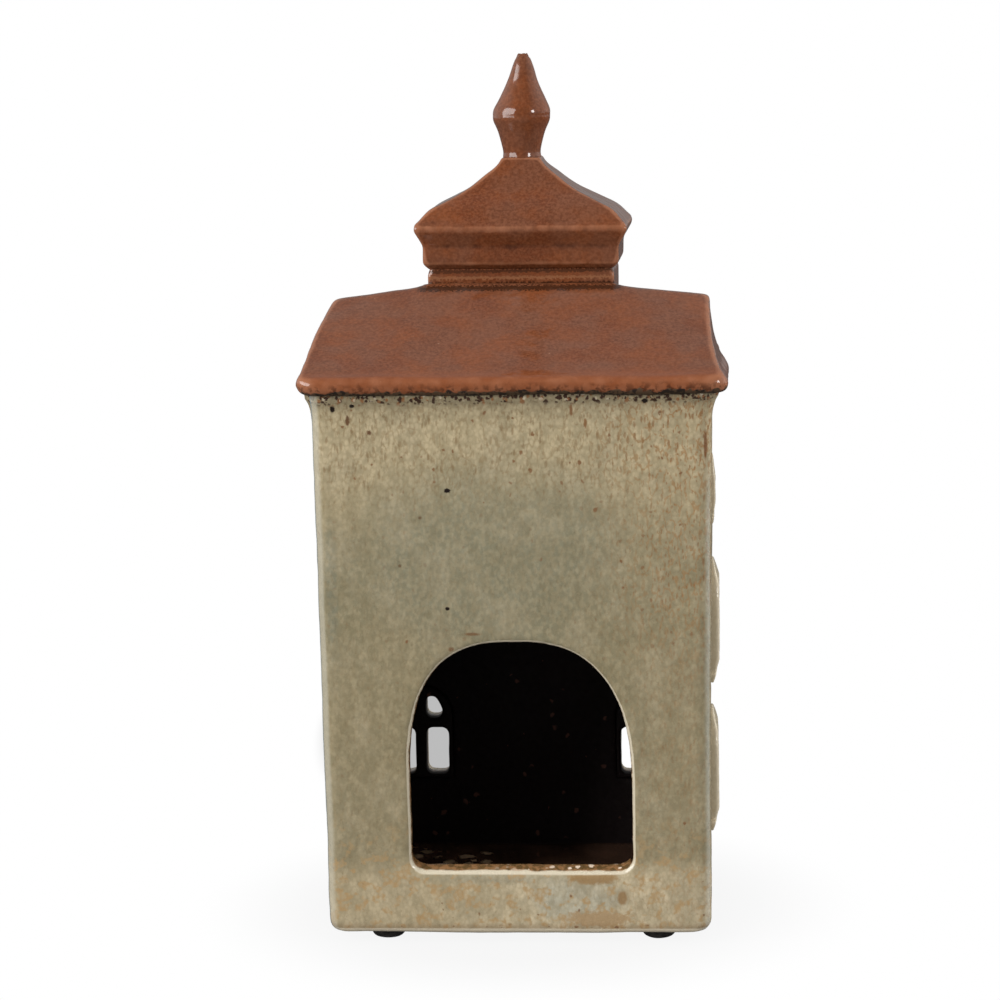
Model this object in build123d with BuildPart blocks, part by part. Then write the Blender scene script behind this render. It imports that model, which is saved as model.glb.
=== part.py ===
from build123d import *
from math import copysign, cos, radians, sin
import os

os.makedirs("parts", exist_ok=True)

# A glazed ceramic house that shelters a tealight. The rear wall, with the arched hatch,
# faces -Y and the door side faces +Y. The origin is under the middle of the feet.

# Driving dimensions, in millimetres
overrun = 1.0

foot_height = 3.5
foot_radius = 5.75
foot_edge_radius = 2.4
foot_inset_x = 17.5
foot_inset_y = 10.8

wall_top_width = 128.4
wall_top_depth = 100.0
wall_lean_x = 1.7
wall_lean_y = 1.2
wall_height = 168.5
wall_thickness = 6.0
wall_corner_radius = 4.5
cavity_corner_radius = 3.0
cove_height = 10.5
cove_reach = 4.2
cove_steps = 6
quarter_turn = 90.0

floor_thickness = 6.5

hatch_width = 72.5
hatch_sill_height = 21.1
hatch_spring_height = 50.6
hatch_arch_rise = 47.0
hatch_arch_steps = 16
hatch_lean = 1.9
hatch_shift = 0.4
hatch_corner_radius = 4.5
hatch_edge_radius = 1.2

window_spacing = 81.0
window_frame_proud = 2.8
window_frame_border = 4.2
window_plug_margin = 1.6
window_bar = 3.8
window_transom = 3.6
window_pane_radius = 2.2
window_sill_height = 3.4
window_sill_lap = 1.4
window_sill_proud = 0.5
window_edge_radius = 0.7

ground_glass_width = 19.8
ground_glass_height = 31.9
ground_pane_height = 16.9

upper_glass_width = 19.8
upper_glass_height = 83.0
upper_pane_height = 16.4

attic_glass_width = 10.6
attic_glass_height = 133.4
attic_pane_height = 10.2
attic_frame_border = 2.3
attic_frame_proud = 1.2
attic_glass_proud = 0.5
attic_bar = 1.5
attic_sill_height = 2.6
attic_pane_radius = 0.5

door_width = 21.6
door_spring_height = 51.8
door_leaf_proud = 1.5
door_plank_count = 5
door_groove_width = 0.7
door_groove_depth = 0.6
door_knob_radius = 1.1
door_knob_height = 27.0
door_knob_inset = 3.2
surround_width = 4.4
surround_proud = 2.9
surround_edge_radius = 0.8
step_width = 38.0
step_height = 4.6
step_proud = 4.6
step_edge_radius = 1.0

eave_overhang_x = 1.4
eave_overhang_y = 1.3
eave_thickness = 6.5
eave_corner_radius = 6.0
eave_edge_radius = 3.1
slope_inset = 1.3
slope_drop = 1.0
slope_foot_rise = 5.0
slope_flare = 0.5
ridge_inset = 6.8
ridge_depth = 3.0
ridge_height = 29.0
roof_thickness = 6.5
roof_rim_depth = 4.0
roof_rim_thickness = 3.0
seat_clearance = 0.3

tower_width = 61.8
tower_depth = 36.6
tower_setback = 8.4
tower_thickness = 5.0
tower_top_height = 35.0
tower_plinth_reach = 0.7
tower_plinth_height = 33.0
tower_plinth_edge_radius = 0.5
tower_vent_ledge = 3.0

oculus_radius = 4.6
oculus_border = 2.6
oculus_proud = 1.6
oculus_bar = 1.6
oculus_drop = 13.0
oculus_plug_margin = 1.2

cap_frieze_reach = 2.4
cap_frieze_rise = 2.2
cap_frieze_height = 5.9
cap_nose_reach = 5.0
cap_nose_rise = 4.6
cap_nose_height = 3.0
cap_height = 37.0
cap_neck_radius = 6.6
cap_collar_depth = 3.0
cap_collar_thickness = 2.5
cap_void_rise = 26.0
cap_void_top_width = 15.0
cap_void_top_depth = 9.0

finial_height = 35.5
finial_neck_radius = 6.3
finial_neck_rise = 3.0
finial_bulb_radius = 9.8
finial_bulb_rise = 14.8
finial_tip_radius = 1.5
finial_crater_depth = 1.4
finial_spigot_radius = 3.6
finial_spigot_length = 5.0
spigot_clearance = 0.15

# Shapes given as shares of the sizes that they follow
hatch_power_share = 0.75
window_head_width_share = 0.81
window_head_rise_share = 1.03
cap_slope_shares = (
    (0.890, 0.119),
    (0.812, 0.205),
    (0.702, 0.286),
    (0.488, 0.429),
    (0.294, 0.600),
    (0.160, 0.757),
    (0.042, 0.900),
)
finial_waist_shares = (
    (0.20, 0.30),
    (0.62, 0.70),
)
finial_taper_shares = (
    (0.86, 0.18),
    (0.44, 0.56),
    (0.24, 0.80),
)

# Widths and depths that more than one piece uses
wall_base_width = wall_top_width - 2 * wall_lean_x
wall_base_depth = wall_top_depth - 2 * wall_lean_y
foot_spacing_x = wall_base_width - 2 * foot_inset_x
foot_spacing_y = wall_base_depth - 2 * foot_inset_y
eave_width = wall_top_width + 2 * (cove_reach + eave_overhang_x)
eave_depth = wall_top_depth + 2 * (cove_reach + eave_overhang_y)
ridge_width = eave_width - 2 * ridge_inset
tower_centre = (eave_depth - tower_depth) / 2 - tower_setback

# Levels that more than one piece uses
base_level = foot_height
floor_level = base_level + floor_thickness
cove_level = base_level + wall_height
eave_level = cove_level + cove_height
slope_level = eave_level + eave_thickness - slope_drop
ridge_level = eave_level + ridge_height
tower_top_level = eave_level + tower_top_height
cap_top_level = tower_top_level + cap_height


def blend_sizes(low_size, high_size, share):
    """Width and depth at a share of the way from one level to another."""
    return tuple(low + (high - low) * share for low, high in zip(low_size, high_size))


def wall_size(level):
    """Outer width and depth of the leaning walls at a level."""
    share = (level - base_level) / wall_height
    return blend_sizes((wall_base_width, wall_base_depth), (wall_top_width, wall_top_depth), share)


def cavity_size(level):
    """Inner width and depth of the walls at a level."""
    width, depth = wall_size(level)
    return width - 2 * wall_thickness, depth - 2 * wall_thickness


def rounded_block(low, low_size, high, high_size, radius):
    """Block with rounded upright corners between two levels."""
    with BuildPart() as block:
        with BuildSketch(Plane.XY.offset(low)):
            RectangleRounded(*low_size, radius)
        with BuildSketch(Plane.XY.offset(high)):
            RectangleRounded(*high_size, radius)
        loft()
    return block.part


def arch_face(half_width, low, spring, rise):
    """Face of an opening with upright sides and a half-round or half-oval head."""
    with BuildSketch() as face:
        with BuildLine():
            Polyline((half_width, spring), (half_width, low), (-half_width, low), (-half_width, spring))
            EllipticalCenterArc((0, spring), half_width, rise, start_angle=0, arc_size=2 * quarter_turn)
        make_face()
    return face.sketch


def hatch_arch():
    """Points of the hatch's full, hand-cut arch from right to left, which leans towards the left."""
    points = []
    for step in range(hatch_arch_steps + 1):
        turn = radians(2 * quarter_turn * step / hatch_arch_steps)
        rise = abs(sin(turn)) ** hatch_power_share
        reach = copysign(abs(cos(turn)) ** hatch_power_share, cos(turn))
        across = hatch_shift + reach * hatch_width / 2 - hatch_lean * rise**2
        points.append((across, base_level + hatch_spring_height + hatch_arch_rise * rise))
    return points


def glass_face(glass_width, pane_height, bar, transom, radius):
    """Two upright panes below a transom and two halves of a narrower arched pane above it."""
    half_width = glass_width / 2
    spring = pane_height + transom
    head_rise = half_width * window_head_rise_share
    with BuildSketch() as panes:
        with Locations((0, pane_height / 2)):
            Rectangle(glass_width, pane_height)
        add(arch_face(half_width * window_head_width_share, 0, spring, head_rise))
        with Locations((0, spring)):
            Rectangle(bar, 2 * (spring + head_rise), mode=Mode.SUBTRACT)
        with Locations((0, pane_height + transom / 2)):
            Rectangle(glass_width + overrun, transom, mode=Mode.SUBTRACT)
        fillet(panes.vertices(), radius)
    return panes.sketch


def wall_plane(side, across, level):
    """Plane on the middle of the house, facing out through one wall."""
    if side == "front":
        return Plane(origin=(across, 0, level), x_dir=(-1, 0, 0), z_dir=(0, 1, 0))
    if side == "left":
        return Plane(origin=(0, across, level), x_dir=(0, -1, 0), z_dir=(-1, 0, 0))
    return Plane(origin=(0, across, level), x_dir=(0, 1, 0), z_dir=(1, 0, 0))


def wall_reach(side, level):
    """How far a wall's outer face stands from the middle of the house at a level."""
    width, depth = wall_size(level)
    return depth / 2 if side == "front" else width / 2


# Solids that the pieces are trimmed with: the outside and the inside of the walls
wall_block = rounded_block(
    base_level, wall_size(base_level), cove_level, wall_size(cove_level), wall_corner_radius
)
cavity_block = rounded_block(
    base_level, cavity_size(base_level), cove_level, cavity_size(cove_level), cavity_corner_radius
)

# Glass width, glass height above the base and pane height of each row of pierced windows
ground_row = (ground_glass_width, ground_glass_height, ground_pane_height)
upper_row = (upper_glass_width, upper_glass_height, upper_pane_height)

# Where the windows sit: name, wall, place across and, for the pierced ones, the row
pierced_windows = [
    ("ground_window_front_left", "front", -window_spacing / 2, ground_row),
    ("ground_window_front_right", "front", window_spacing / 2, ground_row),
    ("ground_window_left", "left", 0, ground_row),
    ("ground_window_right", "right", 0, ground_row),
    ("upper_window_front_left", "front", -window_spacing / 2, upper_row),
    ("upper_window_front_centre", "front", 0, upper_row),
    ("upper_window_front_right", "front", window_spacing / 2, upper_row),
    ("upper_window_left", "left", 0, upper_row),
    ("upper_window_right", "right", 0, upper_row),
]
blind_windows = [
    ("attic_window_front_left", "front", -window_spacing / 2),
    ("attic_window_front_centre", "front", 0),
    ("attic_window_front_right", "front", window_spacing / 2),
    ("attic_window_left", "left", 0),
    ("attic_window_right", "right", 0),
]


def plug_face(glass_width, pane_height):
    """Outline of the part of a window frame that fills its opening in the wall."""
    half_width = glass_width / 2 + window_plug_margin
    return arch_face(half_width, -window_plug_margin, pane_height + window_transom, half_width)


# House walls: one cast shell with a cove under the eaves, a hatch and window openings
with BuildPart() as house_walls:
    add(wall_block)
    for step in range(cove_steps + 1):
        turn = radians(quarter_turn * step / cove_steps)
        out = cove_reach * (1 - cos(turn))
        with BuildSketch(Plane.XY.offset(cove_level + cove_height * sin(turn))):
            RectangleRounded(wall_top_width + 2 * out, wall_top_depth + 2 * out, wall_corner_radius + out)
    loft(ruled=True)
    add(cavity_block, mode=Mode.SUBTRACT)
    with BuildSketch(Plane.XY.offset(cove_level)):
        RectangleRounded(*cavity_size(cove_level), cavity_corner_radius)
    extrude(amount=cove_height, mode=Mode.SUBTRACT)
    with BuildSketch(Plane.XZ.offset(wall_top_depth / 2 + overrun)) as hatch_face:
        with BuildLine():
            arch_points = hatch_arch()
            Spline(*arch_points, tangents=((0, 1), (0, -1)))
            Polyline(
                arch_points[0],
                (arch_points[0][0], base_level + hatch_sill_height),
                (arch_points[-1][0], base_level + hatch_sill_height),
                arch_points[-1],
            )
        make_face()
        fillet(hatch_face.vertices().group_by(Axis.Y)[0], hatch_corner_radius)
    extrude(amount=-(wall_top_depth / 2), mode=Mode.SUBTRACT)
    for name, side, across, (glass_width, glass_height, pane_height) in pierced_windows:
        opening_plane = wall_plane(side, across, base_level + glass_height)
        with BuildSketch(opening_plane.offset(wall_top_depth / 2 - 2 * wall_thickness)):
            add(plug_face(glass_width, pane_height))
        extrude(amount=wall_top_width / 2, mode=Mode.SUBTRACT)
    hatch_edges = (
        house_walls.edges()
        .filter_by_position(Axis.Y, -wall_top_depth / 2 - overrun, -wall_base_depth / 2 + overrun / 2)
        .filter_by_position(
            Axis.Z,
            base_level + hatch_sill_height - overrun,
            base_level + hatch_spring_height + hatch_arch_rise + overrun,
        )
        .filter_by_position(Axis.X, arch_points[-1][0] - overrun, arch_points[0][0] + overrun)
    )
    fillet(hatch_edges, hatch_edge_radius)
house_walls.part.label = "house_walls"
export_step(house_walls.part, "parts/house_walls.step")

# Floor slab: closes the walls at the bottom and carries the tealight
with BuildPart() as floor_slab:
    add(
        rounded_block(
            base_level,
            cavity_size(base_level),
            floor_level,
            cavity_size(floor_level),
            cavity_corner_radius,
        )
    )
floor_slab.part.label = "floor_slab"
export_step(floor_slab.part, "parts/floor_slab.step")

# Feet: four round rubber pads stuck under the floor slab
foot_places = [
    ("foot_rear_left", -foot_spacing_x / 2, -foot_spacing_y / 2),
    ("foot_rear_right", foot_spacing_x / 2, -foot_spacing_y / 2),
    ("foot_front_left", -foot_spacing_x / 2, foot_spacing_y / 2),
    ("foot_front_right", foot_spacing_x / 2, foot_spacing_y / 2),
]
for name, across, along in foot_places:
    with BuildPart() as foot:
        with BuildSketch(Plane.XY):
            with Locations((across, along)):
                Circle(foot_radius)
        extrude(amount=foot_height)
        fillet(foot.edges().group_by(Axis.Z)[0], foot_edge_radius)
    foot.part.label = name
    export_step(foot.part, "parts/" + name + ".step")

# Pierced window frames: a flange and a sill outside, and a plug that fills the opening
for name, side, across, (glass_width, glass_height, pane_height) in pierced_windows:
    spring = pane_height + window_transom
    frame_half_width = glass_width / 2 + window_frame_border
    glass_level = base_level + glass_height
    face_reach = wall_reach(side, glass_level + spring / 2)
    frame_plane = wall_plane(side, across, glass_level)
    with BuildPart() as window_frame:
        with BuildSketch(frame_plane.offset(face_reach - wall_thickness / 2)):
            add(arch_face(frame_half_width, -window_frame_border, spring, frame_half_width))
        extrude(amount=wall_thickness / 2 + window_frame_proud)
        flange_edges = window_frame.faces().sort_by(Axis(frame_plane.origin, frame_plane.z_dir))[-1].edges()
        fillet(flange_edges, window_edge_radius)
        with BuildSketch(frame_plane.offset(face_reach - wall_thickness / 2)):
            with Locations((0, -window_frame_border)):
                Rectangle(2 * (frame_half_width + window_sill_lap), window_sill_height)
        extrude(amount=wall_thickness / 2 + window_frame_proud + window_sill_proud)
        add(wall_block, mode=Mode.SUBTRACT)
        with BuildSketch(frame_plane.offset(face_reach - 2 * wall_thickness)):
            add(plug_face(glass_width, pane_height))
        extrude(amount=2 * wall_thickness)
        add(cavity_block, mode=Mode.SUBTRACT)
        with BuildSketch(frame_plane.offset(face_reach - 2 * wall_thickness - overrun)):
            add(glass_face(glass_width, pane_height, window_bar, window_transom, window_pane_radius))
        extrude(amount=3 * wall_thickness, mode=Mode.SUBTRACT)
    window_frame.part.label = name
    export_step(window_frame.part, "parts/" + name + ".step")

# Blind attic windows: low relief plates with a sill, set on the wall's face
for name, side, across in blind_windows:
    spring = attic_pane_height + attic_bar
    frame_half_width = attic_glass_width / 2 + attic_frame_border
    glass_level = base_level + attic_glass_height
    face_reach = wall_reach(side, glass_level + spring / 2)
    frame_plane = wall_plane(side, across, glass_level)
    with BuildPart() as attic_window:
        with BuildSketch(frame_plane.offset(face_reach - wall_thickness / 2)):
            add(arch_face(frame_half_width, -attic_frame_border, spring, frame_half_width))
        extrude(amount=wall_thickness / 2 + attic_frame_proud)
        with BuildSketch(frame_plane.offset(face_reach + attic_glass_proud)):
            add(glass_face(attic_glass_width, attic_pane_height, attic_bar, attic_bar, attic_pane_radius))
        extrude(amount=attic_frame_proud, mode=Mode.SUBTRACT)
        with BuildSketch(frame_plane.offset(face_reach - wall_thickness / 2)):
            with Locations((0, -attic_frame_border)):
                Rectangle(2 * (frame_half_width + window_sill_lap), attic_sill_height)
        extrude(amount=wall_thickness / 2 + attic_frame_proud + window_sill_proud)
        add(wall_block, mode=Mode.SUBTRACT)
    attic_window.part.label = name
    export_step(attic_window.part, "parts/" + name + ".step")

# Door step: a low block in front of the door
door_reach = wall_size(base_level + door_spring_height / 2)[1] / 2
door_plane = wall_plane("front", 0, base_level)
with BuildPart() as door_step:
    with BuildSketch(door_plane.offset(door_reach - wall_thickness / 2)):
        with Locations((0, step_height / 2)):
            Rectangle(step_width, step_height)
    extrude(amount=wall_thickness / 2 + step_proud)
    fillet(door_step.faces().sort_by(Axis.Y)[-1].edges().group_by(Axis.Z)[-1], step_edge_radius)
    add(wall_block, mode=Mode.SUBTRACT)
door_step.part.label = "door_step"
export_step(door_step.part, "parts/door_step.step")

# Door surround: a half-round headed band that stands on the step
surround_half_width = door_width / 2 + surround_width
with BuildPart() as door_surround:
    with BuildSketch(door_plane.offset(door_reach - wall_thickness / 2)):
        add(arch_face(surround_half_width, step_height, door_spring_height, surround_half_width))
    extrude(amount=wall_thickness / 2 + surround_proud)
    surround_edges = door_surround.faces().sort_by(Axis.Y)[-1].edges().group_by(Axis.Z)[1:]
    fillet(surround_edges, surround_edge_radius)
    with BuildSketch(door_plane.offset(door_reach - wall_thickness)):
        add(arch_face(door_width / 2, step_height - overrun, door_spring_height, door_width / 2))
    extrude(amount=2 * wall_thickness, mode=Mode.SUBTRACT)
    add(wall_block, mode=Mode.SUBTRACT)
door_surround.part.label = "door_surround"
export_step(door_surround.part, "parts/door_surround.step")

# Door leaf: planks between the jambs, with a round knob
with BuildPart() as door_leaf:
    with BuildSketch(door_plane.offset(door_reach - wall_thickness / 2)):
        add(arch_face(door_width / 2, step_height, door_spring_height, door_width / 2))
    extrude(amount=wall_thickness / 2 + door_leaf_proud)
    with BuildSketch(door_plane.offset(door_reach + door_leaf_proud - door_groove_depth)):
        with Locations((0, door_spring_height)):
            with GridLocations(door_width / door_plank_count, 0, door_plank_count - 1, 1):
                Rectangle(door_groove_width, 2 * (door_spring_height + door_width))
    extrude(amount=door_leaf_proud, mode=Mode.SUBTRACT)
    add(wall_block, mode=Mode.SUBTRACT)
    with Locations(
        (door_width / 2 - door_knob_inset, door_reach + door_leaf_proud, base_level + door_knob_height)
    ):
        Sphere(door_knob_radius)
door_leaf.part.label = "door_leaf"
export_step(door_leaf.part, "parts/door_leaf.step")

# The roof's outside: a rounded eave slab under four slopes that flare at the foot
slope_width = eave_width - 2 * slope_inset
slope_depth = eave_depth - 2 * slope_inset
slope_sizes = ((slope_width, slope_depth), (ridge_width, ridge_depth))
flare_share = slope_foot_rise / (ridge_level - slope_level)
flare_width, flare_depth = blend_sizes(*slope_sizes, flare_share)
with BuildPart() as roof_block:
    with BuildSketch(Plane.XY.offset(eave_level)):
        RectangleRounded(eave_width, eave_depth, eave_corner_radius)
    extrude(amount=eave_thickness)
    fillet(roof_block.edges().group_by(Axis.Z)[-1], eave_edge_radius)
    fillet(roof_block.edges().group_by(Axis.Z)[0], eave_edge_radius)
    with BuildSketch(Plane.XY.offset(slope_level)):
        Rectangle(slope_width, slope_depth)
    with BuildSketch(Plane.XY.offset(slope_level + slope_foot_rise)):
        Rectangle(flare_width - 2 * slope_flare, flare_depth)
    with BuildSketch(Plane.XY.offset(ridge_level)):
        Rectangle(ridge_width, ridge_depth)
    loft(ruled=True)

# Main roof: a hollow gable roof, with a rim that drops inside the walls
rim_width, rim_depth = (size - 2 * seat_clearance for size in cavity_size(cove_level))
void_width = rim_width - 2 * roof_rim_thickness
void_depth = rim_depth - 2 * roof_rim_thickness
with BuildPart() as main_roof:
    add(roof_block.part)
    with BuildSketch(Plane.XY.offset(eave_level - roof_rim_depth)):
        RectangleRounded(rim_width, rim_depth, cavity_corner_radius)
    extrude(amount=roof_rim_depth)
    with BuildSketch(Plane.XY.offset(eave_level - roof_rim_depth)):
        Rectangle(void_width, void_depth)
    extrude(amount=roof_rim_depth + slope_foot_rise, mode=Mode.SUBTRACT)
    with BuildSketch(Plane.XY.offset(eave_level + slope_foot_rise)):
        Rectangle(void_width, void_depth)
    with BuildSketch(Plane.XY.offset(ridge_level - roof_thickness)):
        Rectangle(void_width - 2 * roof_thickness, ridge_depth)
    loft(mode=Mode.SUBTRACT)
    with BuildSketch(Plane.XY.offset(eave_level)):
        with Locations((0, tower_centre)):
            Rectangle(
                tower_width - 2 * (tower_thickness + tower_vent_ledge),
                tower_depth - 2 * (tower_thickness + tower_vent_ledge),
            )
    extrude(amount=ridge_height, mode=Mode.SUBTRACT)
main_roof.part.label = "main_roof"
export_step(main_roof.part, "parts/main_roof.step")

# Tower: a hollow box on the door side of the ridge, with a plinth and a round opening
tower_face = tower_centre + tower_depth / 2
oculus_level = tower_top_level - oculus_drop
oculus_plane = wall_plane("front", 0, oculus_level)
with BuildPart() as tower:
    with BuildSketch(Plane.XY.offset(eave_level)):
        with Locations((0, tower_centre)):
            Rectangle(tower_width + 2 * tower_plinth_reach, tower_depth + 2 * tower_plinth_reach)
    extrude(amount=tower_plinth_height)
    fillet(tower.edges().group_by(Axis.Z)[-1], tower_plinth_edge_radius)
    with BuildSketch(Plane.XY.offset(eave_level)):
        with Locations((0, tower_centre)):
            Rectangle(tower_width, tower_depth)
    extrude(amount=tower_top_height)
    with BuildSketch(Plane.XY.offset(eave_level)):
        with Locations((0, tower_centre)):
            Rectangle(tower_width - 2 * tower_thickness, tower_depth - 2 * tower_thickness)
    extrude(amount=tower_top_height, mode=Mode.SUBTRACT)
    add(roof_block.part, mode=Mode.SUBTRACT)
    with BuildSketch(oculus_plane.offset(tower_face - 2 * tower_thickness)):
        Circle(oculus_radius + oculus_plug_margin)
    extrude(amount=2 * tower_thickness + overrun, mode=Mode.SUBTRACT)
tower.part.label = "tower"
export_step(tower.part, "parts/tower.step")

# Tower window: a ring with a cross bar, plugged into the round opening
oculus_seat = tower_face + tower_plinth_reach
with BuildPart() as tower_window:
    with BuildSketch(oculus_plane.offset(oculus_seat)):
        Circle(oculus_radius + oculus_border)
    extrude(amount=oculus_proud)
    with BuildSketch(oculus_plane.offset(tower_face - tower_thickness)):
        Circle(oculus_radius + oculus_plug_margin)
    extrude(amount=tower_thickness + tower_plinth_reach)
    fillet(tower_window.edges().group_by(Axis.Y)[-1], window_edge_radius)
    with BuildSketch(oculus_plane.offset(tower_face - tower_thickness - overrun)):
        Circle(oculus_radius)
        Rectangle(oculus_bar, 2 * oculus_radius, mode=Mode.SUBTRACT)
        Rectangle(2 * oculus_radius, oculus_bar, mode=Mode.SUBTRACT)
    extrude(amount=tower_thickness + tower_plinth_reach + oculus_proud + 2 * overrun, mode=Mode.SUBTRACT)
tower_window.part.label = "tower_window"
export_step(tower_window.part, "parts/tower_window.step")


def cap_profile(half_size, neck):
    """Half-outline, mirrored: frieze, nose and sagging slope up to the neck."""
    frieze = half_size + cap_frieze_reach
    nose = half_size + cap_nose_reach
    frieze_low = tower_top_level + cap_frieze_rise
    frieze_high = frieze_low + cap_frieze_height
    nose_low = frieze_high + cap_nose_rise
    nose_high = nose_low + cap_nose_height
    slope_reach = nose - cap_nose_height / 4
    slope_points = [
        (neck + (slope_reach - neck) * reach, nose_high + (cap_top_level - nose_high) * rise)
        for reach, rise in cap_slope_shares
    ]
    with BuildSketch() as profile:
        with BuildLine():
            Polyline((0, tower_top_level), (half_size, tower_top_level), (frieze, frieze_low))
            Line((frieze, frieze_low), (frieze, frieze_high))
            Line((frieze, frieze_high), (nose, nose_low))
            ThreePointArc(
                (nose, nose_low),
                (nose + cap_nose_height / 8, nose_low + cap_nose_height / 2),
                (slope_reach, nose_high),
            )
            Spline((slope_reach, nose_high), *slope_points, (neck, cap_top_level))
            Line((neck, cap_top_level), (0, cap_top_level))
            Line((0, cap_top_level), (0, tower_top_level))
        make_face()
        mirror(about=Plane.YZ)
    return profile.sketch


# Cupola cap: cornice and sagging pavilion roof, cast hollow, with a collar inside the tower
with BuildPart() as cupola_cap:
    with BuildSketch(Plane.XZ.offset(-tower_centre)):
        add(cap_profile(tower_width / 2, cap_neck_radius))
    extrude(amount=tower_depth, both=True)
    with BuildSketch(Plane(origin=(0, tower_centre, 0), x_dir=(0, 1, 0), z_dir=(1, 0, 0))):
        add(cap_profile(tower_depth / 2, cap_neck_radius))
    extrude(amount=tower_width, both=True, mode=Mode.INTERSECT)
    collar_width = tower_width - 2 * (tower_thickness + seat_clearance)
    collar_depth = tower_depth - 2 * (tower_thickness + seat_clearance)
    with BuildSketch(Plane.XY.offset(tower_top_level - cap_collar_depth)):
        with Locations((0, tower_centre)):
            Rectangle(collar_width, collar_depth)
    extrude(amount=cap_collar_depth)
    void_size = (collar_width - 2 * cap_collar_thickness, collar_depth - 2 * cap_collar_thickness)
    with BuildSketch(Plane.XY.offset(tower_top_level - cap_collar_depth)):
        with Locations((0, tower_centre)):
            Rectangle(*void_size)
    extrude(amount=cap_collar_depth + cap_frieze_rise + cap_frieze_height, mode=Mode.SUBTRACT)
    with BuildSketch(Plane.XY.offset(tower_top_level + cap_frieze_rise + cap_frieze_height)):
        with Locations((0, tower_centre)):
            Rectangle(*void_size)
    with BuildSketch(Plane.XY.offset(tower_top_level + cap_void_rise)):
        with Locations((0, tower_centre)):
            Rectangle(cap_void_top_width, cap_void_top_depth)
    loft(mode=Mode.SUBTRACT)
    with BuildSketch(Plane.XY.offset(cap_top_level)):
        with Locations((0, tower_centre)):
            Circle(finial_spigot_radius + spigot_clearance)
    extrude(amount=-(finial_spigot_length + spigot_clearance), mode=Mode.SUBTRACT)
cupola_cap.part.label = "cupola_cap"
export_step(cupola_cap.part, "parts/cupola_cap.step")

# Finial: a turned bulb drawn up to a chipped tip, with a spigot that plugs into the cap
neck_level = cap_top_level + finial_neck_rise
bulb_level = cap_top_level + finial_bulb_rise
tip_level = cap_top_level + finial_height
waist_points = [
    (
        finial_neck_radius + (finial_bulb_radius - finial_neck_radius) * reach,
        neck_level + (bulb_level - neck_level) * rise,
    )
    for reach, rise in finial_waist_shares
]
taper_points = [
    (
        finial_tip_radius + (finial_bulb_radius - finial_tip_radius) * reach,
        bulb_level + (tip_level - bulb_level) * rise,
    )
    for reach, rise in finial_taper_shares
]
with BuildPart() as finial:
    with BuildSketch(Plane(origin=(0, tower_centre, 0), x_dir=(1, 0, 0), z_dir=(0, -1, 0))):
        with BuildLine():
            Polyline(
                (0, cap_top_level - finial_spigot_length),
                (finial_spigot_radius, cap_top_level - finial_spigot_length),
                (finial_spigot_radius, cap_top_level),
                (cap_neck_radius, cap_top_level),
            )
            Spline(
                (cap_neck_radius, cap_top_level),
                (finial_neck_radius, neck_level),
                *waist_points,
                (finial_bulb_radius, bulb_level),
                *taper_points,
                (finial_tip_radius, tip_level),
            )
            Line((finial_tip_radius, tip_level), (0, tip_level - finial_crater_depth))
            Line((0, tip_level - finial_crater_depth), (0, cap_top_level - finial_spigot_length))
        make_face()
    revolve(axis=Axis((0, tower_centre, 0), (0, 0, 1)))
finial.part.label = "finial"
export_step(finial.part, "parts/finial.step")
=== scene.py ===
import math

import bmesh
import bpy
from mathutils import Matrix, Vector, noise


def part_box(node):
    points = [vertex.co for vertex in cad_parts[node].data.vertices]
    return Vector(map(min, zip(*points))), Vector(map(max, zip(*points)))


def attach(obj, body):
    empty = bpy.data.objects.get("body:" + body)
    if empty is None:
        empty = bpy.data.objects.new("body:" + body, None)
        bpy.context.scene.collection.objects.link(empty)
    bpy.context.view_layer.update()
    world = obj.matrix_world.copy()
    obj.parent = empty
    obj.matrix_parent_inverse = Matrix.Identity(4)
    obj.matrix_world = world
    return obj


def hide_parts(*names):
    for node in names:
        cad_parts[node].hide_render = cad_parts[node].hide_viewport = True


# A glazed ceramic tealight house. Lengths are in metres, and the hatch side faces -Y.
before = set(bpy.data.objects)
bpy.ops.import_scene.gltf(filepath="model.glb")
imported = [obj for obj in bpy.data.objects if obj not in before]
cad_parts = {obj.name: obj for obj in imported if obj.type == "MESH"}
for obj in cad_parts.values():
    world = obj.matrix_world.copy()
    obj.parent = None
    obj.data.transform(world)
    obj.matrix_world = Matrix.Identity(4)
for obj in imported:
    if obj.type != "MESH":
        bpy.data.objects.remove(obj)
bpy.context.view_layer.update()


# House walls: one slip-cast shell with a cove under the eaves and a hatch for the tealight.
# The sage green glaze runs, pools and breaks pale at the edges, so a softened copy of the shell carries it.
# Painted highlights lie on its corners and rims, and painted shade lies under the eave and under the hatch's
# lip. Inside, the same shell has the dark glaze of the chamber.
def socket_of(sockets, name):
    """The socket in use that goes by this name."""
    return next(socket for socket in sockets if socket.name == name and socket.enabled)


def connect(tree, value, target):
    """Gives an input a link or a fixed value."""
    if isinstance(value, bpy.types.NodeSocket):
        tree.links.new(value, target)
    else:
        target.default_value = value


def add_node(tree, kind, values=None, **settings):
    """A node with its settings, and its inputs' values or links by name."""
    node = tree.nodes.new(kind)
    for name, value in settings.items():
        setattr(node, name, value)
    for name, value in (values or {}).items():
        connect(tree, value, socket_of(node.inputs, name))
    return node


def calc(tree, operation, *values, clamp=False):
    """The result of one sum on numbers."""
    node = add_node(tree, "ShaderNodeMath", operation=operation, use_clamp=clamp)
    for target, value in zip(node.inputs, values):
        connect(tree, value, target)
    return node.outputs[0]


def vector_calc(tree, operation, *values, output="Vector"):
    """The result of one sum on vectors."""
    node = add_node(tree, "ShaderNodeVectorMath", operation=operation)
    for target, value in zip([s for s in node.inputs if s.enabled], values):
        connect(tree, value, target)
    return socket_of(node.outputs, output)


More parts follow.
